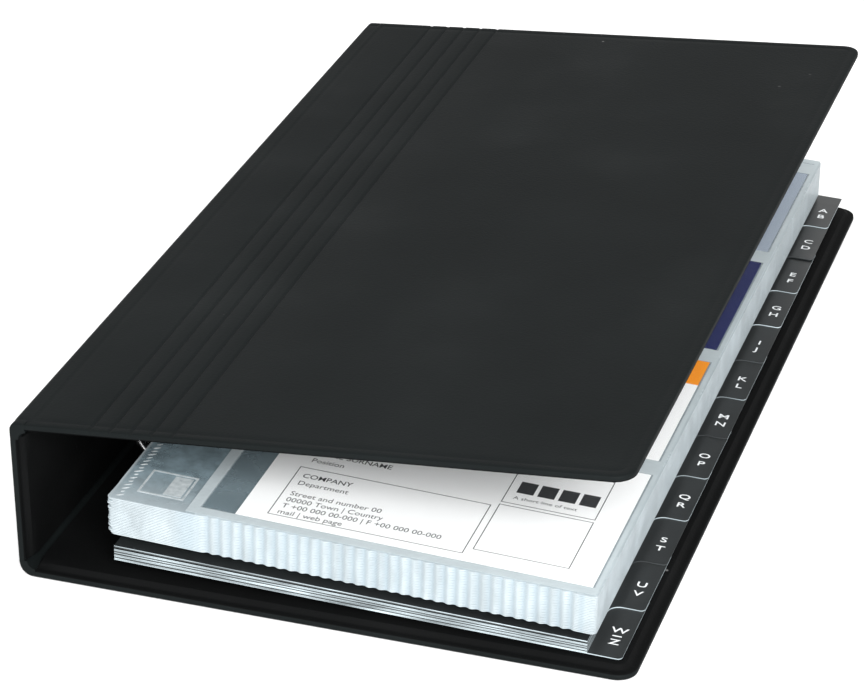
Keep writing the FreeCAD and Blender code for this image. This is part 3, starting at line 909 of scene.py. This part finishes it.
def finish_of(name):
    if name not in _made:
        _made[name] = MATERIALS[name]()
    return _made[name]


def repaint(node, material):
    for slot in frame["nodes"][node].material_slots:
        slot.material = material


# ---- geometry node trees ------------------------------------------------------------

def geometry_tree(name, inputs):
    sockets = [("Geometry", "NodeSocketGeometry", None)] + inputs
    return new_group(name, "GeometryNodeTree", sockets, [("Geometry", "NodeSocketGeometry")])


def end_tree(tree, geometry, result, material):
    """Realizes instances, shades smooth and sets the material."""
    real = add_node(tree, "GeometryNodeRealizeInstances", {0: geometry})
    smooth = add_node(tree, "GeometryNodeSetShadeSmooth", {0: real.outputs[0]})
    painted = add_node(tree, "GeometryNodeSetMaterial", {0: smooth.outputs[0], "Material": material})
    tree.links.new(painted.outputs[0], result.inputs[0])


def ring_tree():
    """A round wire along the host's line, repeated at the four places of the rings."""
    tree, given, result = geometry_tree("binder_rings", [
        ("Wire Radius", "NodeSocketFloat", 0.0014), ("Outer Spacing", "NodeSocketFloat", 0.045),
        ("Middle Spacing", "NodeSocketFloat", 0.065)])
    line = add_node(tree, "GeometryNodeMeshToCurve", {0: given.outputs[0]})
    section = add_node(tree, "GeometryNodeCurvePrimitiveCircle", {"Resolution": 24})
    tree.links.new(given.outputs["Wire Radius"], section.inputs["Radius"])
    wire = add_node(tree, "GeometryNodeCurveToMesh", {
        0: line.outputs[0], "Profile Curve": section.outputs[0],
                                                      "Fill Caps": True})
    step = add_node(tree, "ShaderNodeCombineXYZ", {1: given.outputs["Outer Spacing"]})
    inner = math_node(tree, "MULTIPLY", given.outputs["Middle Spacing"], 0.5)
    outer = math_node(tree, "ADD", inner, given.outputs["Outer Spacing"])
    join = tree.nodes.new("GeometryNodeJoinGeometry")
    for start in (math_node(tree, "MULTIPLY", outer, -1.0), inner):
        where = add_node(tree, "ShaderNodeCombineXYZ", {1: start})
        row = add_node(tree, "GeometryNodeMeshLine", {"Count": 2, "Start Location": where.outputs[0],
                                                      "Offset": step.outputs[0]})
        tree.links.new(row.outputs[0], join.inputs[0])
    rings = add_node(tree, "GeometryNodeInstanceOnPoints", {
        "Points": join.outputs[0], "Instance": wire.outputs[0]})
    end_tree(tree, rings.outputs[0], result, finish_of("wire"))
    return tree


def seam_tree():
    """Slanted weld dots along the host's lines."""
    tree, given, result = geometry_tree("dotted_weld", [
        ("Pitch", "NodeSocketFloat", 0.0017), ("Dot Length", "NodeSocketFloat", 0.0012),
        ("Dot Width", "NodeSocketFloat", 0.0004), ("Relief", "NodeSocketFloat", 0.0001),
        ("Slant", "NodeSocketFloat", 0.6)])
    line = add_node(tree, "GeometryNodeMeshToCurve", {0: given.outputs[0]})
    spaced = add_node(tree, "GeometryNodeResampleCurve", {
        0: line.outputs[0], "Length": given.outputs["Pitch"]},
                      mode="LENGTH")
    dot = add_node(tree, "GeometryNodeMeshUVSphere", {"Segments": 8, "Rings": 4, "Radius": 1.0})
    size = add_node(tree, "ShaderNodeCombineXYZ", {
        0: given.outputs["Dot Length"], 1: given.outputs["Dot Width"], 2: given.outputs["Relief"]})
    turn = add_node(tree, "ShaderNodeCombineXYZ", {2: given.outputs["Slant"]})
    wander = add_node(tree, "FunctionNodeRandomValue", {
        "Min": (0.6, 0.6, 0.8), "Max": (1.3, 1.5, 1.2), "Seed": 4},
                      data_type="FLOAT_VECTOR")
    varied = add_node(tree, "ShaderNodeVectorMath", {
        0: size.outputs[0], 1: wander.outputs[0]}, operation="MULTIPLY")
    dots = add_node(tree, "GeometryNodeInstanceOnPoints", {
        "Points": spaced.outputs[0], "Instance": dot.outputs[0], "Rotation": turn.outputs[0],
        "Scale": varied.outputs[0]})
    end_tree(tree, dots.outputs[0], result, finish_of("weld"))
    return tree


def grown(name, tree, lines, values, matrix=None):
    """Runs a node tree on a host made of lines of points and returns the plain mesh."""
    host_mesh = bpy.data.meshes.new(name)
    points, edges = [], []
    for line in lines:
        start = len(points)
        points += line
        edges += [(n, n + 1) for n in range(start, len(points) - 1)]
    host_mesh.from_pydata(points, edges, [])
    host = bpy.data.objects.new(name, host_mesh)
    bpy.context.scene.collection.objects.link(host)
    modifier = host.modifiers.new("grow", "NODES")
    modifier.node_group = tree
    for item in tree.interface.items_tree:
        if item.in_out == "INPUT" and item.name in values:
            modifier[item.identifier] = values[item.name]
    bpy.context.view_layer.update()
    mesh = bpy.data.meshes.new_from_object(host.evaluated_get(bpy.context.evaluated_depsgraph_get()))
    host.modifiers.remove(modifier)
    bpy.data.objects.remove(host)
    if matrix:
        mesh.transform(matrix)
    mesh.name = name
    return mesh


# ---- operators ----------------------------------------------------------------------

class BuildOperator(bpy.types.Operator):
    bl_options = {"REGISTER", "UNDO"}


class BINDER_OT_covers(BuildOperator):
    """Welded skins of the back cover, the spine and the grooved front cover"""
    bl_idname = "binder.covers"
    bl_label = "Covers and Spine"

    def execute(self, context):
        back_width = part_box("back_outer_skin")[1].x - spine_face() - sizes().hinge_zone
        low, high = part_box("front_outer_skin")
        overhang = sizes().cover_thickness * math.sin(cover_lift())
        front_width = (high.x - low.x - overhang) / math.cos(cover_lift())
        panels = (
            ("back", "back_cover", back_placement(), back_width, False, False),
            ("spine", "spine", spine_placement(), spine_width(), False, True),
            ("front", "front_cover", front_placement(), front_width, True, False),
        )
        for name, body, matrix, width, grooved, two_hinges in panels:
            outer = panel_mesh(width, grooved, two_hinges)
            finish_piece(name + "_skin", body, outer, [finish_of("vinyl")],
                         [name + "_outer_skin"], matrix)
            liner = panel_mesh(width, False, two_hinges, liner=True)
            finish_piece(name + "_lining", body, liner, [finish_of("liner")],
                         [name + "_liner"], matrix)
            repaint(name + "_board", finish_of("board"))
        return {"FINISHED"}


class BINDER_OT_hinges(BuildOperator):
    """Flexible webs between the back cover, the spine and the front cover"""
    bl_idname = "binder.hinges"
    bl_label = "Hinge Webs"

    def execute(self, context):
        s = sizes()
        fold = Vector(JOINTS["spine_fold"]["pos_m"])
        lean, lift = spine_lean(), cover_lift()
        face = spine_face()
        height = spine_width() + 2 * s.hinge_zone
        crease = Vector((fold.x, 0, height - fold.z))

        def place_lower(x, z, share):
            return turned(Vector((face + x, 0, z)), fold, lean * share)

        def place_upper(x, z, share):
            point = turned(Vector((face + x, 0, height - z)), crease, (lift - lean) * (1 - share))
            return turned(point, fold, lean)

        webs = (
            ("lower", place_lower, s.lower_round, "back_cover", "spine", 0),
            ("upper", place_upper, s.upper_round, "spine", "cover_web", 1),
        )
        for name, place, outer_round, first, second, start_share in webs:
            piece = finish_piece(name + "_web", None, web_mesh(outer_round, place), [finish_of("vinyl")],
                                 [name + "_hinge_web"])
            ends = [place(s.hinge_zone, 0, 0), place(0, s.hinge_zone, 1)]
            if start_share:
                ends.reverse()
            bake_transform(piece)
        return {"FINISHED"}


class BINDER_OT_rings(BuildOperator):
    """Left and right halves of the four rings"""
    bl_idname = "binder.rings"
    bl_label = "Rings"

    def execute(self, context):
        s = sizes()
        centre_x = spine_face() + s.ring_offset
        foot_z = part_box("toggle_blade_left")[1].z
        foot_angle = 180 + math.degrees(math.asin((s.ring_height - foot_z) / s.ring_radius))
        bow = arc(centre_x, s.ring_height, s.ring_radius, 90, foot_angle, 40)
        leg = arc(centre_x, s.ring_height, s.ring_radius, 90, 0, 30)
        leg_x = centre_x + s.ring_radius
        bend_z = foot_z + s.ring_leg_bend
        leg += [(leg_x, s.ring_height - (s.ring_height - bend_z) * n / 4) for n in range(1, 4)]
        leg += arc(leg_x - s.ring_leg_bend, bend_z, s.ring_leg_bend, 0, -90, 10)
        tree = ring_tree()
        values = {"Wire Radius": s.ring_wire / 2, "Outer Spacing": s.ring_outer_spacing,
                  "Middle Spacing": s.ring_middle_spacing}
        for side, line in (("left", bow), ("right", leg)):
            name = "ring_wires_" + side
            mesh = grown(name, tree, [[(x, 0, z) for x, z in line]], values)
            shade(mesh, math.radians(40))
            piece = add_object(name, mesh, [finish_of("wire")])
            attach(piece, "rings_" + side)
            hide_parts("ring_halves_" + side)
        return {"FINISHED"}


class BINDER_OT_mechanism(BuildOperator):
    """Arched plate, toggle blades and rivets"""
    bl_idname = "binder.mechanism"
    bl_label = "Ring Mechanism"

    def execute(self, context):
        repaint("mechanism_plate", finish_of("sheet"))
        repaint("toggle_blade_left", finish_of("sheet"))
        repaint("toggle_blade_right", finish_of("sheet"))
        repaint("mechanism_rivets", finish_of("rivet"))
        return {"FINISHED"}


def page_outline(width, page_length, number):
    """Outline of a pocket page, with fluted near and far edges and its own small unevenness."""
    s = sizes()
    chance = random.Random(number)
    curl = chance.uniform(-0.35, 0.45) * MM
    radius = s.page_corner * chance.uniform(0.3, 0.9)
    near = [(0, 9 * MM), (curl * 0.4, 5 * MM)] + arc(radius + curl, radius, radius, 180, 270, 5)
    far = []
    steps = int((width - s.flute_start - 4 * MM) / s.flute_pitch) * 8
    for n in range(steps + 1):
        u = s.flute_start + n * s.flute_pitch / 8
        depth = s.flute_depth * (0.5 - 0.5 * math.cos(2 * math.pi * n / 8))
        near.append((u, depth))
        far.append((u, page_length - depth))
    near += arc(width - s.page_corner, s.page_corner, s.page_corner, -90, 0, 6)
    far = list(reversed(far)) + [(s.page_corner, page_length)]
    corner = arc(s.page_corner, page_length - s.page_corner, s.page_corner, 90, 180, 6)[1:]
    far_corner = arc(width - s.page_corner, page_length - s.page_corner, s.page_corner, 0, 90, 6)
    return near + far_corner + far + corner


class BINDER_OT_pocket_pages(BuildOperator):
    """Twenty-four punched pocket pages, each on its own body"""
    bl_idname = "binder.pocket_pages"
    bl_label = "Pocket Pages"

    def execute(self, context):
        s = sizes()
        for number, node in enumerate(POCKET_PAGES):
            low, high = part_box(node)
            thickness = s.page_thickness if number else s.page_thickness - 0.06 * MM
            matrix, width = sheet_placement(node, thickness)
            holes = [slot_loop(s.page_slot_start, s.page_slot_end, y - low.y, s.slot_width)
                     for y in ring_places()]
            outline = page_outline(width, high.y - low.y, number)
            bm = flat_sheet(outline, holes, thickness if number else thickness - 0.2 * MM)
            mark_edges(bm)
            material = finish_of("page" if number else "top_page")
            finish_piece("pocket_sheet_%02d" % (number + 1), node, bm, [material, finish_of("page_edge")],
                         [node], matrix)
        return {"FINISHED"}


class BINDER_OT_top_page(BuildOperator):
    """Front film, dotted welds and the blank embossed square of the top page"""
    bl_idname = "binder.top_page"
    bl_label = "Top Page Details"

    def execute(self, context):
        s = sizes()
        repaint("pocket_film_01", finish_of("film"))
        low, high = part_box("pocket_page_01")
        thickness = s.page_thickness - 0.06 * MM
        matrix = sheet_placement("pocket_page_01", thickness)[0]
        page_length = high.y - low.y
        face = thickness - 0.2 * MM
        end_gap = 2 * MM
        seams = (s.seam_inset, s.strip_width - 0.9 * MM)
        lines = [[(x, end_gap, face), (x, page_length - end_gap, face)] for x in seams]
        values = {"Pitch": s.seam_pitch, "Dot Length": 1.0 * MM, "Dot Width": 0.3 * MM, "Relief": 0.12 * MM,
                  "Slant": math.radians(35)}
        mesh = grown("dotted_welds", seam_tree(), lines, values, matrix)
        shade(mesh, math.radians(60))
        piece = add_object("dotted_welds", mesh, [finish_of("weld")])
        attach(piece, "pocket_page_01")
        bm = bmesh.new()
        x0, x1, y0, y1 = 5.4 * MM, 16.8 * MM, 4.8 * MM, 15.8 * MM
        add_frame(bm, x0, x1, y0, y1, 0.5 * MM, face - 0.02 * MM, face + 0.08 * MM)
        add_bar(bm, x0 + 6 * MM, x1 - 1 * MM, y0 + 1 * MM, y1 - 1 * MM, face - 0.02 * MM, face + 0.05 * MM)
        finish_piece("blank_embossing", "pocket_page_01", bm, [finish_of("weld")],
                     matrix=matrix)
        return {"FINISHED"}


class BINDER_OT_cards(BuildOperator):
    """Four cards in the top page, the first with generic print"""
    bl_idname = "binder.cards"
    bl_label = "Cards"

    def execute(self, context):
        c = colours()
        white = (0.94, 0.95, 0.95)
        looks = (
            ("card_1", white, ()),
            ("card_2", white, (((0, 86, 41.5, 55), tuple(c.orange)),)),
            ("card_3", tuple(c.navy), ()),
            ("card_4", tuple(c.grey_blue), ()),
        )
        for node, tint, blocks in looks:
            repaint(node, card_material(node + "_stock", node, tint, blocks))
        matrix = sheet_placement("card_1", 0.15 * MM)[0]
        self.add_print(matrix)
        return {"FINISHED"}

    def add_print(self, matrix):
        low, high = 0.15 * MM, 0.165 * MM
        bm = bmesh.new()
        add_frame(bm, 6.7 * MM, 53.6 * MM, 2.9 * MM, 26.6 * MM, 0.22 * MM, low, high)
        add_frame(bm, 55.2 * MM, 78.0 * MM, 5.6 * MM, 27.8 * MM, 0.22 * MM, low, high)
        lines = (
            ("NAME SURNAME", 2.0, 8.2, 33.3, 0.008), ("Position", 2.0, 8.2, 29.6, 0.0),
            ("COMPANY", 2.0, 8.6, 21.8, 0.008), ("Department", 2.0, 8.6, 18.2, 0.0),
            ("Street and number 00", 2.0, 8.6, 12.9, 0.0), ("00000 Town | Country", 2.0, 8.6, 9.9, 0.0),
            ("T +00 000 00-000 | F +00 000 00-000", 2.0, 8.6, 6.9, 0.0),
            ("mail | web page", 2.0, 8.6, 3.9, 0.0),
        )
        for words, height, x, y, bold in lines:
            text_mesh(bm, words, height * MM * 0.95, Vector((x * MM, y * MM, low + 0.007 * MM)), 0.015 * MM,
                      bold, "LEFT", 0.9)
        add_frame(bm, 55.2 * MM, 78.0 * MM, 28.9 * MM, 48.0 * MM, 0.22 * MM, low, high)
        for n in range(4):
            left = (57.4 + n * 5.05) * MM
            add_bar(bm, left, left + 4.1 * MM, 34.4 * MM, 39.9 * MM, low, high)
        text_mesh(bm, "A short line of text", 1.35 * MM, Vector((57.4 * MM, 31.3 * MM, low + 0.007 * MM)),
                  0.015 * MM, 0.0, "LEFT", 1.0)
        finish_piece("card_1_print", "pocket_page_01", bm, [finish_of("ink")], matrix=matrix)


def index_outline(width, sheet_length, tab_low, tab_high, last):
    """Outline of an index sheet: square but for the tab, whose near corner is round."""
    s = sizes()
    edge, round_out = width - s.index_tab, 1.2 * MM
    points = [(0, 0)]
    if last:
        points += arc(width - round_out, round_out, round_out, -90, 0, 6)
    else:
        points += [(edge, 0)]
        root = 3 * MM
        points += [(edge, tab_low - root)] + arc(edge + root, tab_low - root, root, 180, 90, 6)[1:]
        points += arc(width - round_out, tab_low + round_out, round_out, -90, 0, 6)
    points += [(width, tab_high)]
    if tab_high < sheet_length - 0.01 * MM:
        points += [(edge, tab_high), (edge, sheet_length)]
    return points + [(0, sheet_length)]


class BINDER_OT_index_sheets(BuildOperator):
    """Twelve index sheets with stepped tabs, pale sheared edges and printed letters"""
    bl_idname = "binder.index_sheets"
    bl_label = "Index Sheets"

    def execute(self, context):
        s = sizes()
        for number, node in enumerate(INDEX_SHEETS):
            low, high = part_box(node)
            sheet_length = high.y - low.y
            matrix, width = sheet_placement(node, s.index_thickness)
            tab_length = sheet_length / len(INDEX_SHEETS)
            tab_low = sheet_length - (number + 1) * tab_length
            tab_high = min(sheet_length, tab_low + tab_length + 5 * MM)
            outline = index_outline(width, sheet_length, tab_low, tab_high, number == len(INDEX_SHEETS) - 1)
            holes = [slot_loop(s.index_slot_start, s.index_slot_end, y - low.y, s.slot_width)
                     for y in ring_places()]
            bm = flat_sheet(outline, holes, s.index_thickness)
            mark_edges(bm)
            edge = "index_edge_clean" if number in CLEAN_CUT_SHEETS else "index_edge"
            finish_piece("index_leaf_%02d" % (number + 1), node, bm, [finish_of("index"), finish_of(edge)],
                         [node], matrix)
            self.add_letters(number, node, matrix, width, tab_low + tab_length / 2)
        return {"FINISHED"}

    def add_letters(self, number, node, matrix, width, middle):
        s = sizes()
        height, gap, raised = s.letter_height, 2.0 * MM, 0.02 * MM
        x = width - s.index_tab * 0.42
        first, second = TAB_LETTERS[number]
        spread = gap if number < len(INDEX_SHEETS) - 1 else 3.0 * MM
        bm = bmesh.new()
        centre = middle - 1.5 * MM
        for letter, y in ((first, centre + spread / 2), (second, centre - spread / 2 - height)):
            baseline = Vector((x, y, s.index_thickness + raised / 2))
            text_mesh(bm, letter, height, baseline, raised, 0.01, squeeze=1.2)
        if number == len(INDEX_SHEETS) - 1:
            add_bar(bm, x - 1.1 * MM, x + 1.1 * MM, centre - 0.2 * MM, centre + 0.2 * MM,
                    s.index_thickness, s.index_thickness + raised)
        finish_piece("tab_letters_%02d" % (number + 1), node, bm, [finish_of("letters")],
                     matrix=matrix)


def soft_light(name, place, aim, size, power):
    data = bpy.data.lights.new(name, "AREA")
    data.shape = "RECTANGLE"
    data.size, data.size_y = size
    data.energy = power
    light = bpy.data.objects.new(name, data)
    light.location = place
    light.rotation_euler = (Vector(aim) - Vector(place)).to_track_quat("-Z", "Y").to_euler()
    bpy.context.scene.collection.objects.link(light)


class BINDER_OT_stage(BuildOperator):
    """Pale floor, soft lights and the camera"""
    bl_idname = "binder.stage"
    bl_label = "Stage"

    def execute(self, context):
        bm = bmesh.new()
        bmesh.ops.create_grid(bm, x_segments=8, y_segments=8, size=6.0)
        mesh = bpy.data.meshes.new("studio_floor")
        bm.to_mesh(mesh)
        bm.free()
        floor = add_object("studio_floor", mesh, [finish_of("floor")])
        floor.location.z = -0.0002
        world = bpy.data.worlds.new("studio")
        world.use_nodes = True
        world.node_tree.nodes["Background"].inputs[0].default_value = (1, 1, 1, 1)
        world.node_tree.nodes["Background"].inputs[1].default_value = 1.0
        context.scene.world = world
        soft_light("overhead", (-0.3, 0.5, 1.3), (0, 0, 0), (1.6, 1.2), 2)
        soft_light("front_fill", (0.45, -1.05, 0.66), (0, 0, 0), (0.9, 0.5), 28)
        context.scene.view_settings.view_transform = "Standard"
        self.add_camera(context.scene)
        return {"FINISHED"}

    def add_camera(self, scene):
        azimuth, elevation, roll = math.radians(16.41), math.radians(26.72), math.radians(1.31)
        data = bpy.data.cameras.new("camera")
        data.sensor_width = 36
        data.lens = 143.1
        data.clip_start = 0.05
        forward = Vector((-math.sin(azimuth) * math.cos(elevation), math.cos(azimuth) * math.cos(elevation),
                          -math.sin(elevation)))
        level = forward.cross(Vector((0, 0, 1))).normalized()
        upright = level.cross(forward)
        right = math.cos(roll) * level + math.sin(roll) * upright
        up = math.cos(roll) * upright - math.sin(roll) * level
        camera = bpy.data.objects.new("camera", data)
        matrix = Matrix.Identity(4)
        matrix.col[0][:3], matrix.col[1][:3], matrix.col[2][:3] = right, up, -forward
        matrix.col[3][:3] = (0.2130, -0.7705, 0.4109)
        camera.matrix_world = matrix
        scene.collection.objects.link(camera)
        scene.camera = camera


OPERATORS = (
    BINDER_OT_covers, BINDER_OT_hinges, BINDER_OT_rings, BINDER_OT_mechanism, BINDER_OT_pocket_pages,
    BINDER_OT_top_page, BINDER_OT_cards, BINDER_OT_index_sheets, BINDER_OT_stage,
)


class BINDER_PT_panel(bpy.types.Panel):
    bl_label = "Card Ring Binder"
    bl_idname = "BINDER_PT_panel"
    bl_space_type = "VIEW_3D"
    bl_region_type = "UI"
    bl_category = "Binder"

    def draw(self, context):
        for operator in OPERATORS:
            self.layout.operator(operator.bl_idname)
        for group in (context.scene.binder_sizes, context.scene.binder_colours):
            column = self.layout.column(align=True)
            for name in group.__annotations__:
                column.prop(group, name)


CLASSES = (BinderSizes, BinderColours) + OPERATORS + (BINDER_PT_panel,)


def register():
    for item in CLASSES:
        bpy.utils.register_class(item)
    bpy.types.Scene.binder_sizes = bpy.props.PointerProperty(type=BinderSizes)
    bpy.types.Scene.binder_colours = bpy.props.PointerProperty(type=BinderColours)


def unregister():
    del bpy.types.Scene.binder_sizes
    del bpy.types.Scene.binder_colours
    for item in reversed(CLASSES):
        bpy.utils.unregister_class(item)


def main():
    register()
    for operator in OPERATORS:
        group, name = operator.bl_idname.split(".")
        getattr(getattr(bpy.ops, group), name)()


if __name__ == "__main__":
    main()
